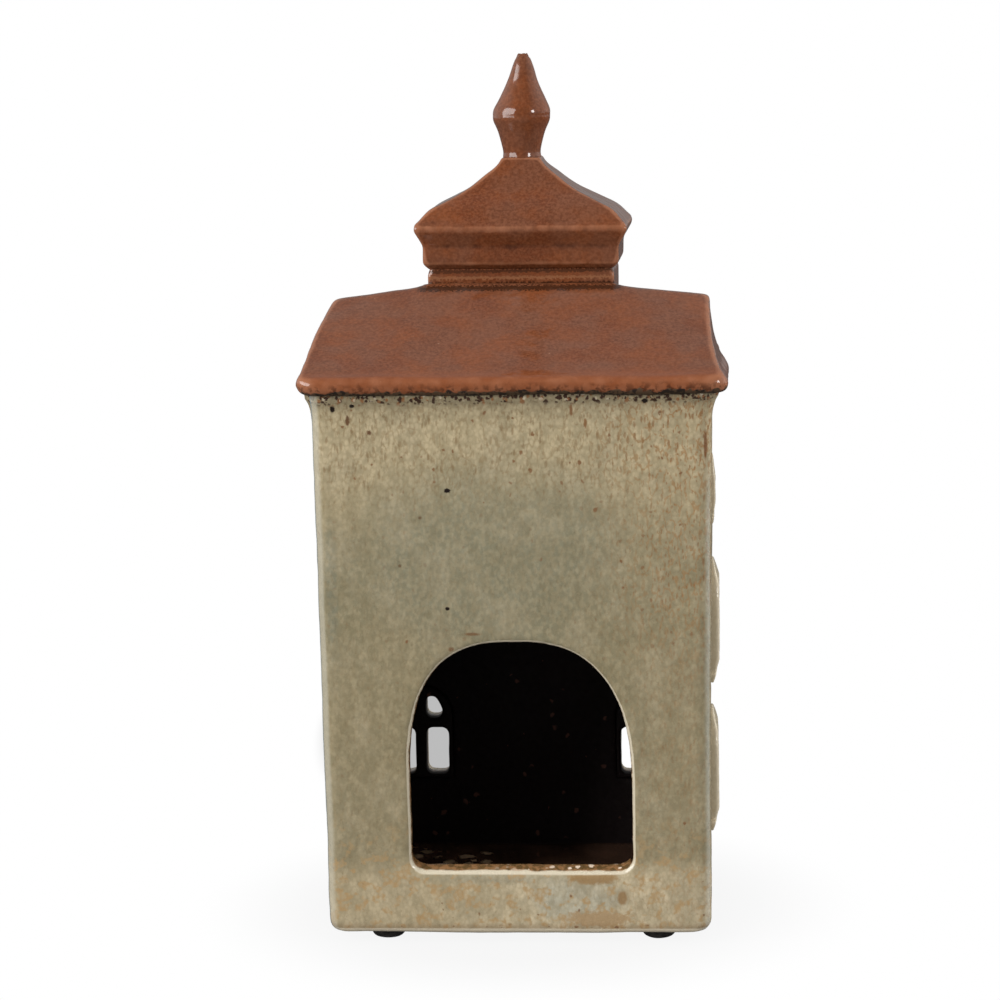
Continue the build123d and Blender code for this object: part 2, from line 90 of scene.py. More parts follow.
def ramp(tree, value, low, high):
    """Nought below low, one above high, and a smooth step between them."""
    values = {"Value": value, "From Min": low, "From Max": high}
    node = add_node(tree, "ShaderNodeMapRange", values, interpolation_type="SMOOTHSTEP")
    return socket_of(node.outputs, "Result")


def fade(tree, value, low, high):
    """One below low, nought above high, and a smooth step between them."""
    return calc(tree, "SUBTRACT", 1, ramp(tree, value, low, high))


def mix(tree, share, first, second):
    """One colour over another, by a share."""
    node = add_node(tree, "ShaderNodeMix", {"Factor": share, "A": first, "B": second}, data_type="RGBA")
    return socket_of(node.outputs, "Result")


def lay(tree, colour, mask, share, tone):
    """A colour with a tone laid over it, by a share of a mask."""
    return mix(tree, calc(tree, "MULTIPLY", mask, share), colour, tone)


def object_place(tree):
    """Where a point lies, as one vector and along each axis."""
    place = add_node(tree, "ShaderNodeTexCoord").outputs["Object"]
    return place, add_node(tree, "ShaderNodeSeparateXYZ", {"Vector": place}).outputs


def noise_over(tree, place, scale, detail=2.0, output="Fac"):
    """A cloudy pattern between nought and one."""
    values = {"Vector": place, "Scale": scale, "Detail": detail}
    return add_node(tree, "ShaderNodeTexNoise", values).outputs[output]


def make_skin_tree():
    """Softens a remeshed clay form, gives it the wobble of a cast and marks edges, hollows and places."""
    tree = bpy.data.node_groups.new("clay_skin", "GeometryNodeTree")
    tree.interface.new_socket("Geometry", in_out="INPUT", socket_type="NodeSocketGeometry")
    for name, kind, value in (
        ("Softening", "NodeSocketInt", 4),
        ("Wobble Height", "NodeSocketFloat", 0.0005),
        ("Wobble Length", "NodeSocketFloat", 0.05),
        ("Ripple Height", "NodeSocketFloat", 0.0001),
        ("Ripple Length", "NodeSocketFloat", 0.008),
        ("Edge Reach", "NodeSocketInt", 8),
        ("Edge Depth", "NodeSocketFloat", 0.0003),
        ("Glaze", "NodeSocketMaterial", None),
    ):
        socket = tree.interface.new_socket(name, in_out="INPUT", socket_type=kind)
        if value is not None:
            socket.default_value = value
    tree.interface.new_socket("Geometry", in_out="OUTPUT", socket_type="NodeSocketGeometry")
    given = tree.nodes.new("NodeGroupInput").outputs

    def position():
        return add_node(tree, "GeometryNodeInputPosition").outputs[0]

    def blurred(steps):
        values = {"Value": position(), "Iterations": steps}
        node = add_node(tree, "GeometryNodeBlurAttribute", values, data_type="FLOAT_VECTOR")
        return socket_of(node.outputs, "Value")

    def swell(length, height, output):
        """Noise between plus and minus a height."""
        pattern = noise_over(tree, position(), calc(tree, "DIVIDE", 1, length), 1, output)
        centred = vector_calc(tree, "SUBTRACT", pattern, (0.5, 0.5, 0.5))
        noise_gain = 4
        values = {"Vector": centred, "Scale": calc(tree, "MULTIPLY", height, noise_gain)}
        return add_node(tree, "ShaderNodeVectorMath", values, operation="SCALE").outputs[0]

    values = {"Geometry": given["Geometry"], "Name": "rest", "Value": position()}
    kept = add_node(tree, "GeometryNodeStoreNamedAttribute", values, data_type="FLOAT_VECTOR").outputs[0]
    wobble = swell(given["Wobble Length"], given["Wobble Height"], "Color")
    values = {"Geometry": kept, "Position": blurred(given["Softening"]), "Offset": wobble}
    softened = add_node(tree, "GeometryNodeSetPosition", values).outputs[0]
    normal = add_node(tree, "GeometryNodeInputNormal").outputs[0]
    ripple = swell(given["Ripple Length"], given["Ripple Height"], "Fac")
    values = {"Geometry": softened, "Offset": vector_calc(tree, "MULTIPLY", ripple, normal)}
    rippled = add_node(tree, "GeometryNodeSetPosition", values).outputs[0]
    inward = vector_calc(tree, "SUBTRACT", blurred(given["Edge Reach"]), position())
    relief = vector_calc(tree, "DOT_PRODUCT", inward, normal, output="Value")
    geometry = rippled
    for name, sign in (("edge", -1), ("hollow", 1)):
        share = calc(tree, "DIVIDE", calc(tree, "MULTIPLY", relief, sign), given["Edge Depth"], clamp=True)
        values = {"Geometry": geometry, "Name": name, "Value": share}
        geometry = add_node(tree, "GeometryNodeStoreNamedAttribute", values, data_type="FLOAT").outputs[0]
    geometry = add_node(tree, "GeometryNodeSetShadeSmooth", {"Geometry": geometry}).outputs[0]
    geometry = add_node(tree, "GeometryNodeRealizeInstances", {"Geometry": geometry}).outputs[0]
    values = {"Geometry": geometry, "Material": given["Glaze"]}
    geometry = add_node(tree, "GeometryNodeSetMaterial", values).outputs[0]
    tree.links.new(geometry, tree.nodes.new("NodeGroupOutput").inputs[0])
    return tree


skin_tree = make_skin_tree()


def merged_copy(name, offsets):
    """A closed mesh of a CAD node, laid down once for each offset to reach into its neighbour."""
    doubles_reach = 1e-6
    form = bmesh.new()
    for offset in offsets:
        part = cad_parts[name].data.copy()
        part.transform(Matrix.Translation(Vector(offset)))
        form.from_mesh(part)
        bpy.data.meshes.remove(part)
    bmesh.ops.remove_doubles(form, verts=form.verts, dist=doubles_reach)
    mesh = bpy.data.meshes.new(name)
    form.to_mesh(mesh)
    form.free()
    return mesh


def glazed_piece(name, glaze, slot, voxel, softening, offsets=((0, 0, 0),), warp=None, share=1, **skin):
    """Turns a CAD node into softened, glazed clay that stands for it, with a share of its faces."""
    rough = bpy.data.objects.new(name + "_rough", merged_copy(name, offsets))
    bpy.context.scene.collection.objects.link(rough)
    remesh = rough.modifiers.new("clay", "REMESH")
    remesh.mode = "VOXEL"
    remesh.voxel_size = voxel
    coat = rough.modifiers.new("skin", "NODES")
    coat.node_group = skin_tree
    settings = {"Softening": softening, "Glaze": glaze}
    settings.update({key.replace("_", " ").title(): value for key, value in skin.items()})
    for item in skin_tree.interface.items_tree:
        if item.in_out == "INPUT" and item.name in settings:
            coat[item.identifier] = settings[item.name]
    if share < 1:
        thin = rough.modifiers.new("thin", "DECIMATE")
        thin.ratio = share
    view = bpy.context.evaluated_depsgraph_get()
    mesh = bpy.data.meshes.new_from_object(rough.evaluated_get(view))
    bpy.data.objects.remove(rough)
    if warp is not None:
        for vertex in mesh.vertices:
            vertex.co = warp(vertex.co)
    piece = bpy.data.objects.new("glazed_" + name, mesh)
    bpy.context.scene.collection.objects.link(piece)
    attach(piece, "root")
    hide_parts(name)
    return piece


def effect_group(name, inputs, outputs):
    """An empty shader group with named inputs at their first values, and named outputs."""
    tree = bpy.data.node_groups.new(name, "ShaderNodeTree")
    for label, value in inputs.items():
        kind = "NodeSocketColor" if isinstance(value, tuple) else "NodeSocketFloat"
        tree.interface.new_socket(label, in_out="INPUT", socket_type=kind).default_value = value
    for label in outputs:
        kind = "NodeSocketColor" if label == "Color" else "NodeSocketFloat"
        tree.interface.new_socket(label, in_out="OUTPUT", socket_type=kind)
    return tree, tree.nodes.new("NodeGroupInput").outputs, tree.nodes.new("NodeGroupOutput").inputs


def effect(tree, group, output=None, **values):
    """Places an effect in a material and returns one of its outputs."""
    node = add_node(tree, "ShaderNodeGroup", node_tree=group)
    for name, value in values.items():
        connect(tree, value, node.inputs[name.replace("_", " ").title()])
    return node.outputs[output or 0]


def flow_space(tree, given):
    """Object coordinates in units of a pattern's size, drawn out upwards as running glaze is."""
    upwards = calc(tree, "DIVIDE", 1, given["Stretch"])
    stretch = add_node(tree, "ShaderNodeCombineXYZ", {"X": 1.0, "Y": 1.0, "Z": upwards}).outputs[0]
    drawn = vector_calc(tree, "MULTIPLY", object_place(tree)[0], stretch)
    values = {"Vector": drawn, "Scale": calc(tree, "DIVIDE", 1, given["Size"])}
    sized = add_node(tree, "ShaderNodeVectorMath", values, operation="SCALE").outputs[0]
    shift = add_node(tree, "ShaderNodeCombineXYZ", {axis: given["Shift"] for axis in "XYZ"}).outputs[0]
    return vector_calc(tree, "ADD", sized, shift)


def distorted(tree, space, scale, detail, reach):
    """A space bent by noise, so that what lies in it is ragged."""
    bend = vector_calc(tree, "MULTIPLY", noise_over(tree, space, scale, detail, "Color"), (reach,) * 3)
    return vector_calc(tree, "ADD", space, bend)


def covering(tree, cloud, cover):
    """A cloud drawn out past nought and one, and raised by how much it is to cover."""
    contrast = 2.2
    return calc(tree, "ADD", calc(tree, "MULTIPLY", calc(tree, "SUBTRACT", cloud, 0.5), contrast), cover)


def make_patches():
    """Cloudy patches where the glaze lies thicker."""
    inputs = {"Size": 0.02, "Stretch": 1.0, "Cover": 0.5, "Softness": 0.2, "Shift": 0.0}
    tree, given, made = effect_group("glaze_patches", inputs, ["Mask"])
    spread = covering(tree, noise_over(tree, flow_space(tree, given), 1.0, 3.0), given["Cover"])
    low = calc(tree, "SUBTRACT", 0.5, given["Softness"])
    high = calc(tree, "ADD", 0.5, given["Softness"])
    tree.links.new(ramp(tree, spread, low, high), made["Mask"])
    return tree


def make_strokes():
    """Short worm-like strokes: the seams of drawn-out cells, broken where the melt healed."""
    inputs = {"Size": 0.002, "Stretch": 2.2, "Width": 0.13, "Cover": 0.5, "Shift": 0.0}
    tree, given, made = effect_group("worm_strokes", inputs, ["Mask"])
    space = flow_space(tree, given)
    values = {"Vector": distorted(tree, space, 1.7, 2.0, 0.7), "Scale": 1.0}
    seams = add_node(tree, "ShaderNodeTexVoronoi", values, feature="DISTANCE_TO_EDGE")
    core = calc(tree, "MULTIPLY", given["Width"], 0.3)
    stroke = fade(tree, seams.outputs["Distance"], core, given["Width"])
    spread = covering(tree, noise_over(tree, space, 1.3), given["Cover"])
    tree.links.new(calc(tree, "MULTIPLY", stroke, ramp(tree, spread, 0.42, 0.6)), made["Mask"])
    return tree


def make_specks():
    """Iron specks that burst through the glaze."""
    inputs = {"Size": 0.003, "Stretch": 1.0, "Amount": 0.3, "Radius": 0.3, "Shift": 0.0}
    tree, given, made = effect_group("iron_specks", inputs, ["Mask"])
    space = distorted(tree, flow_space(tree, given), 2.3, 1.0, 0.45)
    cells = add_node(tree, "ShaderNodeTexVoronoi", {"Vector": space, "Scale": 1.0})
    chance = add_node(tree, "ShaderNodeSeparateColor", {"Color": cells.outputs["Color"]}).outputs
    chosen = calc(tree, "LESS_THAN", chance[0], given["Amount"])
    reach = calc(tree, "MULTIPLY", given["Radius"], calc(tree, "ADD", 0.4, chance[1]))
    dot = fade(tree, cells.outputs["Distance"], calc(tree, "MULTIPLY", reach, 0.55), reach)
    tree.links.new(calc(tree, "MULTIPLY", dot, chosen), made["Mask"])
    return tree


def make_cells():
    """The small pale cells of a fired glaze, with darker seams between them."""
    inputs = {"Size": 0.0012, "Stretch": 1.3, "Shift": 0.0}
    tree, given, made = effect_group("glaze_cells", inputs, ["Mask"])
    cells = add_node(tree, "ShaderNodeTexVoronoi", {"Vector": flow_space(tree, given), "Scale": 1.0})
    tree.links.new(ramp(tree, cells.outputs["Distance"], 0.25, 0.75), made["Mask"])
    return tree


def make_spot():
    """One soft-edged, ragged spot on the hatch wall: stains, drops, pin marks, bare places and a band of
    painted shade under the hatch's lip.
    """
    hatch_wall_from = -0.03
    inputs = {"Across": 0.0, "Height": 0.1, "Half Width": 0.01, "Half Height": 0.01}
    inputs.update({"Softness": 0.3, "Rag": 0.5, "Grain": 0.004})
    tree, given, made = effect_group("glaze_spot", inputs, ["Mask"])
    place, axes = object_place(tree)
    across = calc(tree, "DIVIDE", calc(tree, "SUBTRACT", axes["X"], given["Across"]), given["Half Width"])
    rise = calc(tree, "DIVIDE", calc(tree, "SUBTRACT", axes["Z"], given["Height"]), given["Half Height"])
    away = calc(tree, "SQRT", calc(tree, "MULTIPLY_ADD", across, across, calc(tree, "MULTIPLY", rise, rise)))
    ragged = noise_over(tree, place, calc(tree, "DIVIDE", 1, given["Grain"]))
    away = calc(tree, "MULTIPLY_ADD", calc(tree, "SUBTRACT", ragged, 0.5), given["Rag"], away)
    inner = calc(tree, "SUBTRACT", 1, given["Softness"])
    outer = calc(tree, "ADD", 1, given["Softness"])
    on_hatch_wall = calc(tree, "LESS_THAN", axes["Y"], hatch_wall_from)
    tree.links.new(calc(tree, "MULTIPLY", fade(tree, away, inner, outer), on_hatch_wall), made["Mask"])
    return tree


def make_edge_break():
    """Pale edges and dark hollows, as the form's own marks say: glaze lying thin and pooling, with painted
    highlight on the edges and painted shade in the hollows.
    """
    inputs = {"Base": (0.3, 0.3, 0.3, 1), "Thin": (0.6, 0.6, 0.6, 1), "Deep": (0.1, 0.1, 0.1, 1)}
    inputs.update({"Thin Share": 0.8, "Deep Share": 0.6, "Thin From": 0.35, "Rag": 0.7})
    tree, given, made = effect_group("edge_break", inputs, ["Color"])
    grain = noise_over(tree, object_place(tree)[0], 210.0)
    rag = calc(tree, "MULTIPLY", calc(tree, "SUBTRACT", grain, 0.5), given["Rag"])
    edge = add_node(tree, "ShaderNodeAttribute", attribute_name="edge").outputs["Fac"]
    hollow = add_node(tree, "ShaderNodeAttribute", attribute_name="hollow").outputs["Fac"]
    thin = ramp(tree, calc(tree, "MULTIPLY_ADD", rag, edge, edge), given["Thin From"], 1.0)
    deep = ramp(tree, calc(tree, "ADD", hollow, rag), 0.15, 0.8)
    deepened = lay(tree, given["Base"], deep, given["Deep Share"], given["Deep"])
    tree.links.new(lay(tree, deepened, thin, given["Thin Share"], given["Thin"]), made["Color"])
    return tree


def make_fired_surface():
    """The small unevenness of a fired glaze: a slow swell, orange peel and a few pits."""
    inputs = {"Swell": 0.6, "Peel": 0.25, "Pits": 0.5}
    tree, given, made = effect_group("fired_surface", inputs, ["Height", "Dullness"])
    place = object_place(tree)[0]
    swell = noise_over(tree, place, 90.0, 1.0)
    peel = noise_over(tree, place, 420.0)
    cells = add_node(tree, "ShaderNodeTexVoronoi", {"Vector": place, "Scale": 260.0})
    chance = add_node(tree, "ShaderNodeSeparateColor", {"Color": cells.outputs["Color"]}).outputs[0]
    pit = fade(tree, cells.outputs["Distance"], 0.05, 0.16)
    pit = calc(tree, "MULTIPLY", pit, calc(tree, "LESS_THAN", chance, 0.12))
    height = calc(tree, "MULTIPLY", swell, given["Swell"])
    height = calc(tree, "ADD", height, calc(tree, "MULTIPLY", peel, given["Peel"]))
    height = calc(tree, "SUBTRACT", height, calc(tree, "MULTIPLY", pit, given["Pits"]))
    tree.links.new(height, made["Height"])
    tree.links.new(ramp(tree, peel, 0.3, 0.75), made["Dullness"])
    return tree


patches = make_patches()
strokes = make_strokes()
specks = make_specks()
cells = make_cells()
spot = make_spot()
edge_break = make_edge_break()
fired_surface = make_fired_surface()

wall_low, wall_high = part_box("house_walls")
wall_half_width = 0.0625
wall_half_depth = 0.0488
wall_lean_width = 0.0101
wall_lean_depth = 0.0071
wall_corner_radius = 0.0045


def make_wall_depth():
    """How deep under the walls' outer face a point lies, and how far round a corner."""
    tree, given, made = effect_group("wall_depth", {"Rag": 0.001}, ["Depth", "Turn"])
    rest = add_node(tree, "ShaderNodeAttribute", attribute_name="rest").outputs["Vector"]
    axes = add_node(tree, "ShaderNodeSeparateXYZ", {"Vector": rest}).outputs
    rise = calc(tree, "SUBTRACT", axes["Z"], wall_low.z)
    side = calc(tree, "MULTIPLY_ADD", rise, wall_lean_width, wall_half_width - wall_corner_radius)
    face = calc(tree, "MULTIPLY_ADD", rise, wall_lean_depth, wall_half_depth - wall_corner_radius)
    past_side = calc(tree, "SUBTRACT", calc(tree, "ABSOLUTE", axes["X"]), side)
    past_face = calc(tree, "SUBTRACT", calc(tree, "ABSOLUTE", axes["Y"]), face)
    values = {"X": calc(tree, "MAXIMUM", past_side, 0), "Y": calc(tree, "MAXIMUM", past_face, 0)}
    past_both = add_node(tree, "ShaderNodeCombineXYZ", values).outputs[0]
    rounded = vector_calc(tree, "LENGTH", past_both, output="Value")
    inner = calc(tree, "MINIMUM", calc(tree, "MAXIMUM", past_side, past_face), 0)
    depth = calc(tree, "SUBTRACT", calc(tree, "SUBTRACT", wall_corner_radius, rounded), inner)
    rag = calc(tree, "SUBTRACT", noise_over(tree, rest, 160.0), 0.5)
    rag = calc(tree, "MULTIPLY", rag, given["Rag"])
    tree.links.new(calc(tree, "ADD", depth, rag), made["Depth"])
    tree.links.new(calc(tree, "DIVIDE", past_side, wall_corner_radius), made["Turn"])
    return tree


wall_depth = make_wall_depth()


def new_glaze(name, roughness, coat):
    """A glossy material with its tree and its Principled shader."""
    material = bpy.data.materials.new(name)
    material.use_nodes = True
    tree = material.node_tree
    shader = tree.nodes["Principled BSDF"]
    shader.inputs["Roughness"].default_value = roughness
    shader.inputs["Coat Weight"].default_value = coat
    shader.inputs["Coat Roughness"].default_value = 0.06
    return material, tree, shader


def roughen(tree, shader, strength, distance, height):
    """Gives a surface its small relief."""
    values = {"Strength": strength, "Distance": distance, "Height": height}
    bump = add_node(tree, "ShaderNodeBump", values)
    connect(tree, bump.outputs[0], shader.inputs["Normal"])


# The marks that only the hatch wall has: place across and height, half width and half height,
# softness, rag and share of each, and its colour.
wall_marks = (
    (-0.0092, 0.129, 0.046, 0.027, 0.5, 1.2, 0.75, (0.232, 0.222, 0.15, 1)),
    (-0.060, 0.120, 0.0018, 0.022, 0.5, 0.8, 0.6, (0.19, 0.2, 0.15, 1)),
    (0.0176, 0.0155, 0.0155, 0.0075, 0.35, 1.0, 0.8, (0.5, 0.475, 0.37, 1)),
    # A grey-green band of painted shade under the hatch's lip.
    (-0.006, 0.0225, 0.026, 0.0018, 0.6, 0.8, 0.5, (0.27, 0.27, 0.21, 1)),
    (0.0238, 0.0228, 0.0078, 0.0024, 0.25, 0.9, 0.9, (0.33, 0.205, 0.088, 1)),
    (0.0332, 0.0158, 0.0015, 0.0024, 0.25, 0.5, 0.9, (0.31, 0.19, 0.085, 1)),
    (0.025, 0.0088, 0.0112, 0.0024, 0.25, 1.6, 0.85, (0.4, 0.265, 0.135, 1)),
    (-0.0216, 0.1514, 0.001, 0.0007, 0.25, 1.0, 1.0, (0.012, 0.006, 0.004, 1)),
    (-0.0223, 0.1127, 0.0007, 0.0006, 0.25, 0.6, 1.0, (0.012, 0.006, 0.004, 1)),
    (-0.0144, 0.1042, 0.0026, 0.0005, 0.4, 1.2, 0.8, (0.17, 0.085, 0.035, 1)),
    (-0.0214, 0.0992, 0.0009, 0.0007, 0.4, 1.2, 0.8, (0.17, 0.085, 0.035, 1)),
    (-0.0306, 0.1426, 0.0006, 0.0005, 0.4, 0.6, 0.8, (0.13, 0.075, 0.035, 1)),
    (-0.0375, 0.1269, 0.0005, 0.0005, 0.4, 0.6, 0.8, (0.13, 0.075, 0.035, 1)),
    (0.0615, 0.1653, 0.0005, 0.0046, 0.4, 0.8, 0.85, (0.19, 0.075, 0.025, 1)),
    (-0.058, 0.1783, 0.0008, 0.0011, 0.3, 0.8, 1.0, (0.014, 0.007, 0.004, 1)),
    (-0.0517, 0.1793, 0.0008, 0.0006, 0.3, 0.8, 1.0, (0.014, 0.007, 0.004, 1)),
    (-0.0533, 0.1745, 0.0006, 0.0017, 0.4, 1.4, 0.9, (0.11, 0.045, 0.018, 1)),
    (-0.0464, 0.1705, 0.0007, 0.0007, 0.4, 1.0, 0.9, (0.11, 0.045, 0.018, 1)),
    (0.0187, 0.1774, 0.0005, 0.002, 0.4, 0.8, 0.85, (0.2, 0.085, 0.03, 1)),
    (0.0232, 0.1730, 0.0005, 0.0016, 0.4, 1.2, 0.85, (0.22, 0.1, 0.035, 1)),
    (0.0423, 0.1803, 0.001, 0.0008, 0.3, 1.0, 1.0, (0.014, 0.007, 0.004, 1)),
)
# The first of them lie under the glaze's veil.
veiled_marks = 4

# Where the walls' glaze changes: heights over the table, and places across and along the house.
upper_zone = (0.128, 0.165)
middle_zone = (0.085, 0.13)
low_zone = (0.1, 0.06)
bottom_zone = (0.022, 0.03)
speckled_zone = (0.02, 0.05)
stroke_zone = (0.142, 0.16)
stroke_end = (0.085, 0.125)
corner_line_end = (0.165, 0.14)
bare_foot = (wall_low.z + 0.0015, wall_low.z + 0.0021)
flecked_foot = (wall_low.z + 0.0024, wall_low.z + 0.004)
right_part = (0.012, 0.055)
washed_part = (-0.03, 0.01)
hatch_side = -0.035
sill_side = -0.041
hatch_reach = 0.045


def marked(tree, colour, marks, grain_share):
    """A colour with single marks laid over it, each ragged by a share of its height."""
    for across, level, half_width, half_height, softness, rag, share, tone in marks:
        grain = half_height * grain_share
        mask = effect(tree, spot, across=across, height=level, half_width=half_width,
                      half_height=half_height, softness=softness, rag=rag, grain=grain)
        colour = lay(tree, colour, mask, share, tone)
    return colour


def sage_glaze(name, paler, streaks, border_level, marks=()):
    """Sage green glaze that breaks to tan and cream, with brown strokes that run down the wall."""
    material, tree, shader = new_glaze(name, 0.3, 0.2)
    axes = object_place(tree)[1]
    height = axes["Z"]
    green = (0.235, 0.206, 0.122, 1)
    tan = (0.285, 0.238, 0.14, 1)
    sand = (0.5, 0.405, 0.25, 1)
    pale_sand = (0.54, 0.44, 0.272, 1)
    dry_sand = (0.57, 0.465, 0.295, 1)
    milk = (0.85, 0.72, 0.5, 1)
    cream = (0.46, 0.39, 0.265, 1)
    moss = (0.2, 0.165, 0.09, 1)
    olive = (0.19, 0.115, 0.045, 1)
    brown = (0.2, 0.095, 0.038, 1)
    black = (0.045, 0.016, 0.005, 1)
    inside = (0.012, 0.0035, 0.003, 1)
    colour = mix(tree, effect(tree, patches, size=0.03, stretch=1.4, softness=0.4), green, tan)
    top = ramp(tree, height, *upper_zone)
    rightward = ramp(tree, axes["X"], *right_part)
    colour = lay(tree, colour, top, 0.9, pale_sand)
    middle = calc(tree, "MULTIPLY", rightward, ramp(tree, height, *middle_zone))
    colour = lay(tree, colour, middle, 0.3, sand)
    bottom = fade(tree, height, *bottom_zone)
    colour = lay(tree, colour, bottom, 0.85, dry_sand)
    lighter = calc(tree, "MULTIPLY", bottom, ramp(tree, axes["X"], *washed_part))
    colour = lay(tree, colour, lighter, 0.4, milk)
    low_right = calc(tree, "MULTIPLY", rightward, ramp(tree, height, *low_zone))
    colour = lay(tree, colour, low_right, 0.15, sand)
    colour = marked(tree, colour, marks[:veiled_marks], 0.7)
    veil = effect(tree, patches, size=0.011, stretch=1.5, cover=0.35 + paler, softness=0.35, shift=3.7)
    colour = lay(tree, colour, veil, 0.35, cream)
    fine = effect(tree, patches, size=0.0016, stretch=1.4, softness=0.25, shift=8.1)
    colour = lay(tree, colour, fine, 0.3, sand)
    mottle = effect(tree, patches, size=0.0042, stretch=1.6, softness=0.3, shift=15.0)
    colour = lay(tree, colour, mottle, 0.32, moss)
    busy = calc(tree, "MAXIMUM", ramp(tree, height, *stroke_zone), calc(tree, "MULTIPLY", rightward, 0.8))
    fading = calc(tree, "MULTIPLY_ADD", ramp(tree, height, *stroke_end), 0.85, 0.15)
    busy = calc(tree, "MULTIPLY", calc(tree, "MULTIPLY", busy, fading), streaks)
    seams = effect(tree, cells, size=0.0013, stretch=1.35, shift=17.0)
    seam_share = calc(tree, "MULTIPLY", seams, calc(tree, "MULTIPLY_ADD", busy, 0.12, 0.22))
    colour = mix(tree, seam_share, colour, (0.2, 0.16, 0.085, 1))
    threads = effect(tree, strokes, size=0.0021, stretch=2.1, cover=0.52, shift=2.9)
    stronger = calc(tree, "MULTIPLY", busy, calc(tree, "MULTIPLY_ADD", rightward, 0.45, 0.55))
    thread_share = calc(tree, "MULTIPLY", threads, calc(tree, "MULTIPLY_ADD", stronger, 0.52, 0.1))
    thread_tone = mix(tree, rightward, (0.23, 0.15, 0.065, 1), (0.31, 0.15, 0.045, 1))
    colour = mix(tree, thread_share, colour, thread_tone)
    worms = effect(tree, specks, size=0.00115, stretch=2.8, amount=0.85, radius=0.37, shift=1.3)
    stroke_share = calc(tree, "MULTIPLY", worms, calc(tree, "MULTIPLY_ADD", stronger, 0.55, 0.12))
    colour = mix(tree, stroke_share, colour, mix(tree, rightward, olive, (0.24, 0.11, 0.035, 1)))
    dots = effect(tree, specks, size=0.0032, stretch=1.2, amount=0.4, radius=0.16, shift=5.2)
    low = fade(tree, height, *speckled_zone)
    dot_share = calc(tree, "MULTIPLY_ADD", calc(tree, "MAXIMUM", busy, low), 0.6, 0.25)
    colour = lay(tree, colour, dots, dot_share, brown)
    scabs = effect(tree, patches, size=0.0034, stretch=0.9, cover=0.36, softness=0.1, shift=21.0)
    scabs = calc(tree, "MULTIPLY", scabs, calc(tree, "MULTIPLY_ADD", seams, 0.5, 0.35))
    colour = lay(tree, colour, scabs, low, (0.43, 0.28, 0.13, 1))
    iron = effect(tree, specks, size=0.009, stretch=1.2, amount=0.22, radius=0.075, shift=2.0)
    colour = lay(tree, colour, iron, 0.85, brown)
    # A darker grey-green band under the eave: the glaze's border tone, with painted shade from the overhang.
    band = ramp(tree, height, border_level - 0.006, border_level - 0.0003)
    colour = lay(tree, colour, band, 0.55, (0.22, 0.18, 0.11, 1))
    dense = calc(tree, "MULTIPLY_ADD", rightward, 0.2, 0.6)
    dense = calc(tree, "MULTIPLY", dense, calc(tree, "MULTIPLY_ADD", ramp(tree, band, 0.6, 0.97), 0.8, 0.35))
    crust = effect(tree, specks, size=0.0012, stretch=1.2, amount=dense, radius=0.75, shift=4.0)
    crust = calc(tree, "MULTIPLY", crust, ramp(tree, band, 0.35, 0.8))
    colour = mix(tree, crust, colour, black)
    embers = effect(tree, specks, size=0.0016, stretch=1.3, amount=0.5, radius=0.5, shift=7.0)
    embers = calc(tree, "MULTIPLY", embers, ramp(tree, band, 0.3, 0.8))
    colour = lay(tree, colour, embers, 0.8, (0.26, 0.1, 0.03, 1))
    glints = effect(tree, specks, size=0.0019, amount=0.5, radius=0.34, shift=9.0)
    glints = calc(tree, "MULTIPLY", glints, ramp(tree, band, 0.75, 0.95))
    colour = lay(tree, colour, glints, 0.8, (0.6, 0.5, 0.36, 1))
    colour = marked(tree, colour, marks[veiled_marks:], 0.6)
    foot = fade(tree, height, *bare_foot)
    above_foot = fade(tree, height, *flecked_foot)
    flecks = effect(tree, specks, size=0.0022, stretch=0.7, amount=0.45, radius=0.4, shift=11.0)
    above_foot = calc(tree, "MULTIPLY", above_foot, calc(tree, "MULTIPLY_ADD", flecks, 0.6, 0.25))
    colour = mix(tree, above_foot, colour, brown)
    colour = lay(tree, colour, foot, 0.85, (0.75, 0.66, 0.5, 1))
    colour = mix(tree, paler, colour, (0.62, 0.53, 0.38, 1))
    # Dark hollows, and pale edges on the trims: pooled and thin glaze, with painted shade and painted
    # highlight.
    colour = effect(tree, edge_break, base=colour, thin=(0.66, 0.58, 0.44, 1), deep=(0.17, 0.14, 0.08, 1),
                    rag=0.3, thin_share=0.0 if marks else 0.75, deep_share=0.3 if marks else 0.15)
    # Painted highlights on the hatch wall's rounded corners: a pale blue-white line down the right corner
    # below the eave and a pale strip on the left one. After them comes a painted grey-blue reflection along
    # the left corner's outer turn.
    turn = effect(tree, wall_depth, "Turn")
    on_hatch_wall = calc(tree, "LESS_THAN", axes["Y"], hatch_side)
    to_right = calc(tree, "MULTIPLY", on_hatch_wall, calc(tree, "GREATER_THAN", axes["X"], 0))
    to_left = calc(tree, "SUBTRACT", on_hatch_wall, to_right)
    corner_light = calc(tree, "MULTIPLY", ramp(tree, turn, 0.45, 0.84), ramp(tree, turn, 0.99, 0.86))
    to_right = calc(tree, "MULTIPLY", to_right, ramp(tree, height, *corner_line_end))
    corner_light = calc(tree, "MULTIPLY", corner_light, to_right)
    colour = lay(tree, colour, corner_light, 0.28, (0.56, 0.62, 0.6, 1))
    to_left = calc(tree, "MULTIPLY", to_left, ramp(tree, turn, 0.996, 0.985))
    corner_light = calc(tree, "MULTIPLY", ramp(tree, turn, 0.3, 0.6), to_left)
    colour = lay(tree, colour, corner_light, 0.5, (0.55, 0.52, 0.42, 1))
    corner_light = calc(tree, "MULTIPLY", ramp(tree, turn, 0.86, 0.95), to_left)
    colour = lay(tree, colour, corner_light, 0.8, (0.2, 0.25, 0.27, 1))
